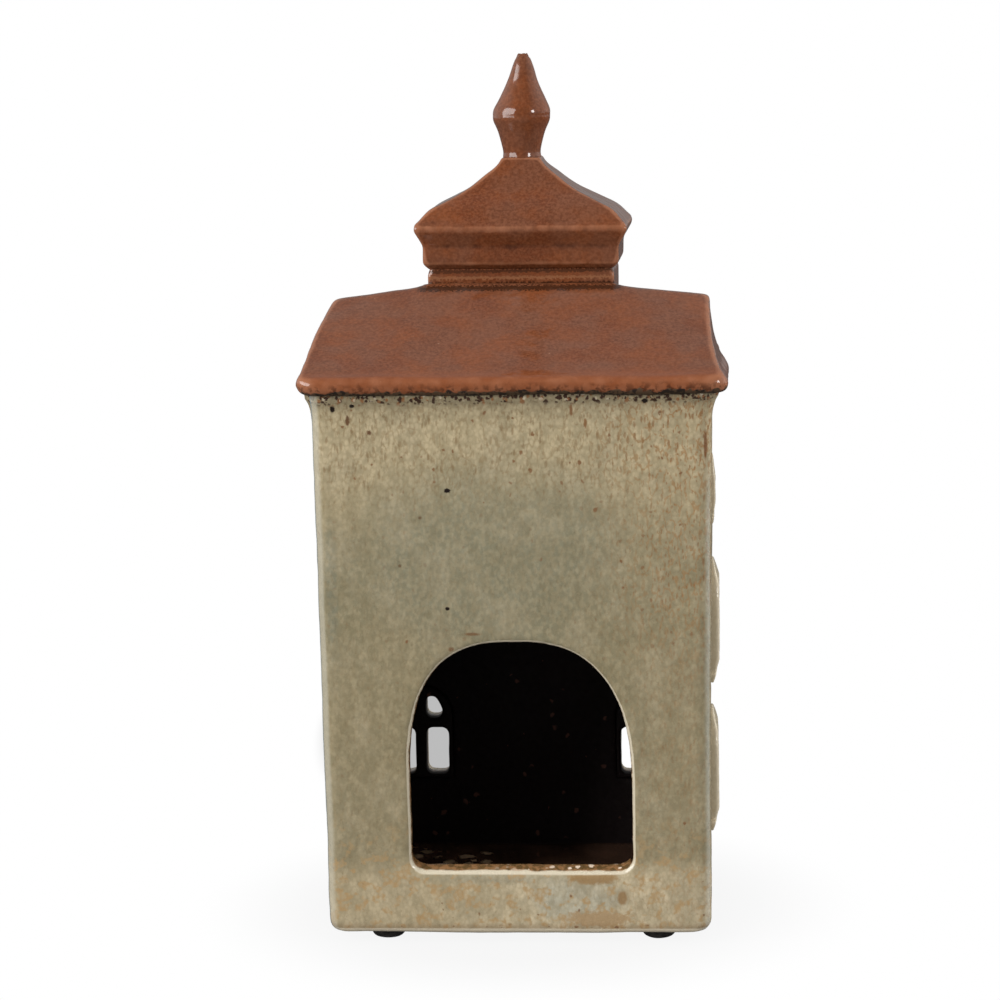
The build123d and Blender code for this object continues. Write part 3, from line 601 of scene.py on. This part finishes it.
    # A cream line just under the outer face in the middle of the walls, round the hatch: glaze lying thin on
    # the rim, with a painted highlight in it.
    depth = effect(tree, wall_depth, rag=0.0)
    rim = ramp(tree, depth, 0.0001, 0.0003)
    front = calc(tree, "LESS_THAN", calc(tree, "ABSOLUTE", axes["X"]), hatch_reach)
    colour = lay(tree, colour, rim, front, (0.68, 0.6, 0.45, 1))
    ragged_depth = effect(tree, wall_depth, rag=0.0025)
    reveal = ramp(tree, ragged_depth, 0.0009, 0.0017)
    rust = effect(tree, patches, size=0.002, softness=0.2, shift=5.5)
    colour = mix(tree, reveal, colour, mix(tree, rust, (0.14, 0.08, 0.03, 1), (0.3, 0.155, 0.065, 1)))
    # Painted glints on the hatch's reveal.
    sill_glints = effect(tree, specks, size=0.0026, stretch=0.6, amount=0.75, radius=0.42, shift=31.0)
    sill_glints = calc(tree, "MULTIPLY", sill_glints, calc(tree, "MULTIPLY", reveal, ramp(tree, axes["X"], -0.02, 0.02)))
    colour = mix(tree, sill_glints, colour, (0.9, 0.72, 0.55, 1))
    sill = calc(tree, "LESS_THAN", axes["Y"], sill_side)
    sill = calc(tree, "MULTIPLY", sill, fade(tree, height, 0.029, 0.034))
    dark = ramp(tree, calc(tree, "MULTIPLY_ADD", sill, -0.0045, ragged_depth), 0.0024, 0.0042)
    fallen = effect(tree, specks, size=0.0055, amount=0.9, radius=0.16, shift=41.0)
    colour = mix(tree, dark, colour, mix(tree, fallen, inside, (0.13, 0.05, 0.03, 1)))
    connect(tree, colour, shader.inputs["Base Color"])
    surface = add_node(tree, "ShaderNodeGroup", node_tree=fired_surface)
    lift = calc(tree, "MULTIPLY_ADD", worms, -0.25, surface.outputs["Height"])
    lift = calc(tree, "MULTIPLY_ADD", seams, -0.2, lift)
    lift = calc(tree, "MULTIPLY_ADD", crust, 0.35, lift)
    roughen(tree, shader, 0.35, 0.0004, lift)
    rough = calc(tree, "MULTIPLY_ADD", surface.outputs["Dullness"], 0.14, 0.2)
    rough = calc(tree, "MULTIPLY_ADD", calc(tree, "MAXIMUM", dark, crust), 0.45, rough)
    connect(tree, rough, shader.inputs["Roughness"])
    glassy = calc(tree, "SUBTRACT", 1, calc(tree, "MAXIMUM", dark, crust))
    connect(tree, calc(tree, "MULTIPLY", glassy, 0.2), shader.inputs["Coat Weight"])
    return material


roof_rim_depth = 0.004
eave_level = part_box("main_roof")[0].z + roof_rim_depth
wall_glaze = sage_glaze("sage_glaze", 0.0, 1.0, eave_level, wall_marks)

# How far the shell's sides, foot, top and sill moved as it shrank, and where.
full_left = 0.0013
drawn_right = 0.0005
side_from = 0.044
side_reach = 0.012
foot_rounding = 0.0022
foot_rise = 0.004
foot_draw_share = 0.012
top_lift = 0.0016
top_edge = 0.0012
sill_lift = 0.0017
sill_fade = 0.006
sill_low = 0.012
sill_high = 0.034
hatch_half_width = 0.036
hatch_wall_back = -0.036
hatch_wall_face = -0.0486
hatch_reveal = 0.005


def clamped(share):
    """A share held between nought and one."""
    return min(1, max(0, share))


def warped_walls(point):
    """The shell as it shrank: fuller on the left, narrower on the right, its top in the eave."""
    left = clamped((-point.x - side_from) / side_reach)
    right = clamped((point.x - side_from) / side_reach)
    foot = max(0, 1 - (point.z - wall_low.z) / foot_rise) ** 2
    lift = top_lift if point.z > wall_high.z - top_edge else 0
    if point.y < hatch_wall_back and abs(point.x) < hatch_half_width and sill_low < point.z < sill_high:
        above_sill = clamped((sill_high - point.z) / sill_fade)
        lift = sill_lift * above_sill * clamped((point.y - hatch_wall_face) / hatch_reveal)
    rounding = foot_rounding * foot
    across = point.x - (full_left - rounding) * left - (drawn_right + rounding) * right
    return Vector((across, point.y * (1 - foot_draw_share * foot), point.z + lift))


glazed_piece("house_walls", wall_glaze, "wall_glaze", voxel=0.00085, softening=3, warp=warped_walls,
             share=0.36, wobble_height=0.0003)

# Floor slab: the bottom of the chamber under a glossy, nearly black brown glaze.
# It is luted into the walls, so its edges reach into them.
chamber_glaze, tree, shader = new_glaze("chamber_glaze", 0.12, 0.6)
cloud = effect(tree, patches, size=0.02, softness=0.4, shift=6.3)
colour = mix(tree, cloud, (0.05, 0.026, 0.015, 1), (0.2, 0.1, 0.06, 1))
axes = object_place(tree)[1]
blobs = effect(tree, specks, size=0.006, amount=1.0, radius=0.38, shift=2.6)
near = calc(tree, "MULTIPLY", ramp(tree, axes["X"], -0.01, -0.018), ramp(tree, axes["Y"], -0.004, 0.008))
near = calc(tree, "MULTIPLY", near, ramp(tree, axes["Y"], 0.04, 0.03))
colour = lay(tree, colour, blobs, near, (0.95, 0.66, 0.4, 1))
connect(tree, colour, shader.inputs["Base Color"])
roughen(tree, shader, 0.5, 0.0006, effect(tree, fired_surface, "Height"))
slab_reach = 0.001
slab_offsets = [(x * slab_reach, y * slab_reach, 0) for x in (-1, 1) for y in (-1, 1)]
glazed_piece("floor_slab", chamber_glaze, "inside_glaze", voxel=0.0012, softening=3,
             offsets=slab_offsets, warp=warped_walls)

# Feet: four self-stick rubber pads with a domed underside, matt black with dust on them.
# They keep a little of the mould's roughness.
pad_rubber, tree, shader = new_glaze("pad_rubber", 0.6, 0)
dust = effect(tree, patches, size=0.002, softness=0.3)
connect(tree, mix(tree, dust, (0.02, 0.018, 0.016, 1), (0.045, 0.04, 0.036, 1)), shader.inputs["Base Color"])
roughen(tree, shader, 0.4, 0.0002, noise_over(tree, object_place(tree)[0], 1400.0))
pad_names = ["foot_rear_left", "foot_rear_right", "foot_front_left", "foot_front_right"]
for pad in pad_names:
    glazed_piece(pad, pad_rubber, "foot_rubber", voxel=0.00035, softening=12, wobble_height=0.0)

# Windows: arched frames with sills, set in the openings and luted to the wall's face.
# The same glaze lies thinner on them, so they fire paler. Their backs reach into the wall.
trim_glaze = sage_glaze("thin_sage_glaze", 0.6, 0.4, eave_level)
luting = 0.0012
outward = {"front": Vector((0, 1, 0)), "left": Vector((-1, 0, 0)), "right": Vector((1, 0, 0))}
fine_voxel = {"pierced": 0.00055, "blind": 0.0004}
melt_height = 0.0075
least_proud_share = 0.25


def wall_side(name):
    """Which wall a window sits in."""
    return "front" if "_front_" in name else name.rsplit("_", 1)[1]


def pillowed(low, high):
    """A warp that lets a side window's frame melt into the wall towards its top and bottom."""
    def warp(point):
        held = warped_walls(point)
        from_end = min(point.z - low.z, high.z - point.z) / melt_height
        kept = least_proud_share + (1 - least_proud_share) * clamped(from_end)
        face = wall_half_width + wall_lean_width * (point.z - wall_low.z)
        proud = abs(point.x) - face
        if proud > 0:
            held.x -= math.copysign(proud * (1 - kept), point.x)
        return held
    return warp


window_names = [name for name in sorted(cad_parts) if "window" in name and name != "tower_window"]
for name in window_names:
    inward = tuple(-luting * outward[wall_side(name)])
    voxel = fine_voxel["blind" if name.startswith("attic") else "pierced"]
    settled = warped_walls if wall_side(name) == "front" else pillowed(*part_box(name))
    glazed_piece(name, trim_glaze, "trim_glaze", voxel=voxel, softening=3, offsets=((0, 0, 0), inward),
                 warp=settled, wobble_height=0.0002, edge_reach=6, edge_depth=0.00018)

# Door: a step, a half-round headed surround and a leaf of planks in the roof's red-brown glaze.
# They are sprigged on to the front wall, so their backs reach into it.
luted_to_front = ((0, 0, 0), (0, -luting, 0))
for name in ("door_step", "door_surround"):
    glazed_piece(name, trim_glaze, "trim_glaze", voxel=0.00045, softening=3, offsets=luted_to_front,
                 edge_reach=6, edge_depth=0.00018)


tower_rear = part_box("tower")[0].y
tower_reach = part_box("tower")[1].x

# The lines where tower, roof and cap are luted: height, half thickness, share and colour.
# The dark lines are glaze pooled in the joints with painted shade in the crevices; the orange one is thin
# glaze with a painted highlight on the rounded edge between them.
joint_lines = (
    (0.2129, 0.0011, 0.85, (0.03, 0.011, 0.005, 1)),
    (0.2152, 0.0007, 0.45, (0.36, 0.16, 0.075, 1)),
    (0.2175, 0.0008, 0.75, (0.04, 0.014, 0.006, 1)),
)


def terracotta_glaze(name, border_level, unevenness=0.4):
    """Red-brown glaze with mottled grey mauve patches of painted sheen, redder where it runs thin on the
    eave.
    """
    material, tree, shader = new_glaze(name, 0.25, 0.12)
    place, axes = object_place(tree)
    height = axes["Z"]
    red = (0.14, 0.038, 0.014, 1)
    orange = (0.2, 0.057, 0.019, 1)
    sheen_mauve = (0.152, 0.062, 0.036, 1)
    colour = mix(tree, effect(tree, patches, size=0.018, softness=0.4, shift=1.9), red, orange)
    fine = effect(tree, patches, size=0.0008, softness=0.25, shift=3.1)
    # Painted sheen: mottled grey mauve patches above the eave band.
    veil = effect(tree, patches, size=0.012, cover=0.5, softness=0.25, shift=7.7)
    runs = ramp(tree, height, border_level + 0.0055, border_level + 0.0085)
    veil = calc(tree, "MULTIPLY", veil, runs)
    colour = lay(tree, colour, veil, calc(tree, "MULTIPLY_ADD", fine, 0.35, 0.55), sheen_mauve)
    colour = lay(tree, colour, fine, 0.45, (0.25, 0.086, 0.037, 1))
    grain = effect(tree, patches, size=0.0012, cover=0.45, softness=0.25, shift=5.0)
    colour = lay(tree, colour, grain, 0.36, (0.085, 0.027, 0.011, 1))
    thin_run = calc(tree, "SUBTRACT", 1, runs)
    colour = lay(tree, colour, thin_run, 0.6, (0.23, 0.065, 0.022, 1))
    dark = effect(tree, specks, size=0.0035, amount=0.25, radius=0.12, shift=6.0)
    colour = lay(tree, colour, dark, 0.35, (0.05, 0.016, 0.008, 1))
    pale = effect(tree, specks, size=0.006, stretch=0.7, amount=0.2, radius=0.07, shift=12.0)
    colour = lay(tree, colour, pale, 0.5, (0.45, 0.26, 0.17, 1))
    # Pale edges, such as the cap's nose, are thin glaze with a painted highlight; dark hollows, such as
    # under the nose and in crevices, are pooled glaze with painted shade.
    colour = effect(tree, edge_break, base=colour, thin=(0.4, 0.17, 0.09, 1), deep=(0.035, 0.011, 0.006, 1),
                    thin_share=0.6, deep_share=0.85)
    at_tower = ramp(tree, calc(tree, "ABSOLUTE", axes["X"]), tower_reach + 0.004, tower_reach + 0.001)
    at_tower = calc(tree, "MULTIPLY", at_tower, calc(tree, "LESS_THAN", axes["Y"], tower_rear + 0.003))
    # Lays the joint lines: pooled glaze with painted shade, and thin glaze with a painted highlight.
    for level, thickness, depth, tone in joint_lines:
        uneven = calc(tree, "MULTIPLY_ADD", fine, 0.0006, height)
        joint = calc(tree, "ABSOLUTE", calc(tree, "SUBTRACT", uneven, level))
        joint = calc(tree, "MULTIPLY", ramp(tree, joint, thickness, thickness * 0.4), depth)
        joint = calc(tree, "MULTIPLY", joint, at_tower)
        colour = mix(tree, joint, colour, tone)
    ragged = calc(tree, "MULTIPLY_ADD", noise_over(tree, place, 330.0), 0.0045, border_level - 0.0008)
    below = calc(tree, "SUBTRACT", height, ragged)
    burnt = effect(tree, patches, size=0.0017, cover=0.42, softness=0.15, shift=14.0)
    burnt = calc(tree, "MULTIPLY", burnt, ramp(tree, below, 0.0035, 0.0))
    colour = lay(tree, colour, burnt, 0.8, (0.07, 0.022, 0.009, 1))
    under = fade(tree, below, -0.0002, 0.0002)
    crust = effect(tree, specks, size=0.0013, stretch=1.2, amount=0.7, radius=0.85, shift=4.0)
    crusted = mix(tree, crust, (0.085, 0.045, 0.02, 1), (0.02, 0.009, 0.004, 1))
    colour = mix(tree, under, colour, crusted)
    connect(tree, colour, shader.inputs["Base Color"])
    surface = add_node(tree, "ShaderNodeGroup", node_tree=fired_surface)
    roughen(tree, shader, unevenness, 0.0004, surface.outputs["Height"])
    rough = calc(tree, "MULTIPLY_ADD", surface.outputs["Dullness"], 0.1, 0.07)
    rough = calc(tree, "MULTIPLY_ADD", under, 0.5, rough)
    connect(tree, rough, shader.inputs["Roughness"])
    glassy = calc(tree, "SUBTRACT", 1, under)
    connect(tree, calc(tree, "MULTIPLY", glassy, 0.12), shader.inputs["Coat Weight"])
    return material


roof_glaze = terracotta_glaze("terracotta_glaze", eave_level)
smooth_glaze = terracotta_glaze("turned_terracotta_glaze", 0.0, 0.08)
glazed_piece("door_leaf", smooth_glaze, "door_glaze", voxel=0.00032, softening=2,
             offsets=luted_to_front, edge_reach=5, edge_depth=0.0001)

# Main roof: a press-moulded gable roof with a thick rolled eave, luted on the walls.
# It warped in the kiln: its slopes lean to the left, its ridge hangs down towards both ends and
# its rear right corner drew in.
roof_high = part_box("main_roof")[1]
ridge_lift = 0.0009
droop_from = 0.035
droop_slope = 0.108
fillet_lift = 0.0016
fillet_reach = 0.0025
slope_lean = 0.0016
corner_draw = 0.003
corner_from = 0.03
corner_width = 0.03
corner_depth = 0.04


def warped_roof(point):
    """Where a point of the roof came to lie."""
    up = clamped((point.z - eave_level) / (roof_high.z - eave_level))
    out = abs(point.x)
    lift = ridge_lift - droop_slope * max(0, out - droop_from)
    lift += fillet_lift * math.exp(-max(0, out - tower_reach) / fillet_reach)
    at_corner = clamped((point.x - corner_from) / corner_width) * clamped(point.y / corner_depth)
    across = point.x - slope_lean * math.sin(math.pi * up) - corner_draw * (1 - up) * at_corner
    return Vector((across, point.y, point.z + lift * up ** 3))


glazed_piece("main_roof", roof_glaze, "roof_glaze", voxel=0.00085, softening=6, warp=warped_roof,
             share=0.6)

# Tower: a slab-built box on the door side of the ridge, with a round window in its front.
# Its foot reaches into the roof, and its top into the cap.
bedding = 0.0015
bedded = ((0, 0, 0), (0, 0, -bedding), (0, 0, bedding))
glazed_piece("tower", roof_glaze, "roof_glaze", voxel=0.0007, softening=4, offsets=bedded)
glazed_piece("tower_window", roof_glaze, "roof_glaze", voxel=0.0004, softening=2, edge_reach=5,
             edge_depth=0.00015)

# Cupola cap: a moulded cornice under a small sagging pavilion roof, in the roof's glaze.
# It is luted on the tower's top, and its slopes sagged less than they were meant to.
cap_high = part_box("cupola_cap")[1]
nose_level = 0.2325
cap_fullness = 0.055
fullness_skew = 0.8


def fuller_cap(point):
    """The cap's slopes stand fuller between the nose and the top."""
    up = clamped((point.z - nose_level) / (cap_high.z - nose_level))
    fullness = cap_fullness * math.sin(math.pi * up ** fullness_skew)
    return Vector((point.x * (1 + fullness), point.y, point.z))


glazed_piece("cupola_cap", roof_glaze, "roof_glaze", voxel=0.0006, softening=4, warp=fuller_cap,
             edge_reach=5, edge_depth=0.00013)

# Finial: a thrown bulb drawn up to a tip, which has chipped off in the kiln.
# Its foot is luted into the cap.
tip_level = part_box("finial")[1].z
chip_height = 0.0026
chip_depth = 0.0022
chip_grain = 650


def chipped_tip(mesh):
    """Breaks the tip into a ragged rim."""
    for vertex in mesh.vertices:
        share = (vertex.co.z - tip_level + chip_height) / chip_height
        if share > 0:
            vertex.co.z -= share * chip_depth * abs(noise.noise(vertex.co * chip_grain))


finial = glazed_piece("finial", smooth_glaze, "roof_glaze", voxel=0.00035, softening=4,
                      offsets=bedded[:2])
chipped_tip(finial.data)

# Floor: a white table that takes the soft shadow of the house and runs out into plain white.
# It lightens away from the house but for a painted shadow, a grey oval at the back left, and mirrors show it
# dim.
table = bpy.data.objects.new("table", bpy.data.meshes.new("table"))
table_half = 6.0
corners = [(x * table_half, y * table_half, 0) for x, y in ((-1, -1), (1, -1), (1, 1), (-1, 1))]
table.data.from_pydata(corners, [], [(0, 1, 2, 3)])
bpy.context.scene.collection.objects.link(table)
white_table, tree, shader = new_glaze("white_table", 0.9, 0)
shader.inputs["Base Color"].default_value = (0.28, 0.28, 0.28, 1)


def between(tree, share, first, second):
    """A number between two others."""
    return add_node(tree, "ShaderNodeMix", {"Factor": share, "A": first, "B": second}).outputs[0]


place, axes = object_place(tree)
away = vector_calc(tree, "LENGTH", place, output="Value")
rays = add_node(tree, "ShaderNodeLightPath").outputs
seen = calc(tree, "ADD", rays["Is Camera Ray"], rays["Is Transmission Ray"], clamp=True)
plain = calc(tree, "MULTIPLY", seen, calc(tree, "MULTIPLY_ADD", ramp(tree, away, 0.06, 0.12), 0.1, 0.9))
plain = calc(tree, "MAXIMUM", plain, rays["Is Glossy Ray"])
# A painted shadow of the house: a grey oval on the table behind it at the left.
across = calc(tree, "DIVIDE", calc(tree, "ADD", axes["X"], 0.062), 0.045)
back = calc(tree, "DIVIDE", calc(tree, "SUBTRACT", axes["Y"], 0.34), 0.2)
shade = calc(tree, "SQRT", calc(tree, "MULTIPLY_ADD", across, across, calc(tree, "MULTIPLY", back, back)))
shade = calc(tree, "MULTIPLY_ADD", ramp(tree, shade, 0.8, 1.1), 0.5, 0.5)
shown = between(tree, rays["Is Glossy Ray"], shade, 0.1)
white = add_node(tree, "ShaderNodeEmission", {"Color": (1, 1, 1, 1), "Strength": shown}).outputs[0]
both = tree.nodes.new("ShaderNodeMixShader")
for value, target in zip((plain, shader.outputs[0], white), both.inputs):
    tree.links.new(value, target)
tree.links.new(both.outputs[0], tree.nodes["Material Output"].inputs["Surface"])
table.data.materials.append(white_table)

# Room: white behind the house for the camera, and a dim studio round it for the glaze to mirror.
# The studio is lighter at its back, at its sides and overhead.
world = bpy.data.worlds.new("studio")
bpy.context.scene.world = world
world.use_nodes = True
tree = world.node_tree
tree.nodes.clear()
ray_way = add_node(tree, "ShaderNodeTexCoord").outputs["Generated"]
way = add_node(tree, "ShaderNodeSeparateXYZ", {"Vector": ray_way}).outputs
rays = add_node(tree, "ShaderNodeLightPath").outputs
soft_level = 0.38
mirror_level = calc(tree, "MULTIPLY_ADD", ramp(tree, way["Y"], -0.35, 0.75), 0.2, 0.05)
mirror_level = calc(tree, "MULTIPLY_ADD", ramp(tree, way["Z"], 0.2, 0.9), 0.04, mirror_level)
sideways = ramp(tree, calc(tree, "ABSOLUTE", way["X"]), 0.4, 0.95)
mirror_level = calc(tree, "MULTIPLY_ADD", sideways, 0.5, mirror_level)
level = between(tree, rays["Is Glossy Ray"], soft_level, mirror_level)
level = between(tree, rays["Is Camera Ray"], level, 1.0)
background = add_node(tree, "ShaderNodeBackground", {"Color": (1, 1, 1, 1), "Strength": level})
tree.links.new(background.outputs[0], tree.nodes.new("ShaderNodeOutputWorld").inputs["Surface"])

# Lamps: a soft box on the left, a narrow one on the right, one behind on the right and a wide one
# overhead. The last two aren't mirrored in the glaze.
house_middle = Vector((0, 0, 0.15))


def soft_box(name, place, width, height, power):
    """A rectangular studio lamp that faces the house."""
    lamp = bpy.data.lights.new(name, "AREA")
    lamp.shape = "RECTANGLE"
    lamp.size = width
    lamp.size_y = height
    lamp.energy = power
    stand = bpy.data.objects.new(name, lamp)
    stand.location = place
    stand.rotation_euler = (house_middle - Vector(place)).to_track_quat("-Z", "Y").to_euler()
    stand.visible_glossy = name not in ("top_box", "side_box")
    bpy.context.scene.collection.objects.link(stand)


soft_box("left_box", (-0.85, -0.62, 0.6), width=1.0, height=0.7, power=13.0)
soft_box("right_box", (0.82, -0.66, 0.52), width=0.24, height=0.3, power=3.8)
soft_box("side_box", (1.05, 0.45, 0.4), width=0.5, height=0.8, power=9.0)
soft_box("top_box", (0.0, 0.1, 1.3), width=1.1, height=0.9, power=3.0)

# Camera: a long lens a metre away and a little above the eaves, fitted to the photo's view.
# It looks slightly down and from the right of the hatch.
view_scene = bpy.context.scene
camera_place = Vector((0.0636, -1.0555, 0.3034))
yaw, pitch, roll = (math.radians(angle) for angle in (3.88, 8.75, -1.01))
forward = Vector((-math.sin(yaw) * math.cos(pitch), math.cos(yaw) * math.cos(pitch), -math.sin(pitch)))
level_right = Vector((math.cos(yaw), math.sin(yaw), 0))
level_up = level_right.cross(forward)
right = level_right * math.cos(roll) + level_up * math.sin(roll)
up = level_up * math.cos(roll) - level_right * math.sin(roll)
camera = bpy.data.objects.new("camera", bpy.data.cameras.new("camera"))
camera.data.sensor_width = 36
camera.data.lens = 114.05
camera.data.clip_start = 0.01
turn = Matrix((right, up, -forward)).transposed().to_4x4()
camera.matrix_world = Matrix.Translation(camera_place) @ turn
view_scene.collection.objects.link(camera)
view_scene.camera = camera
view_scene.view_settings.view_transform = "Standard"
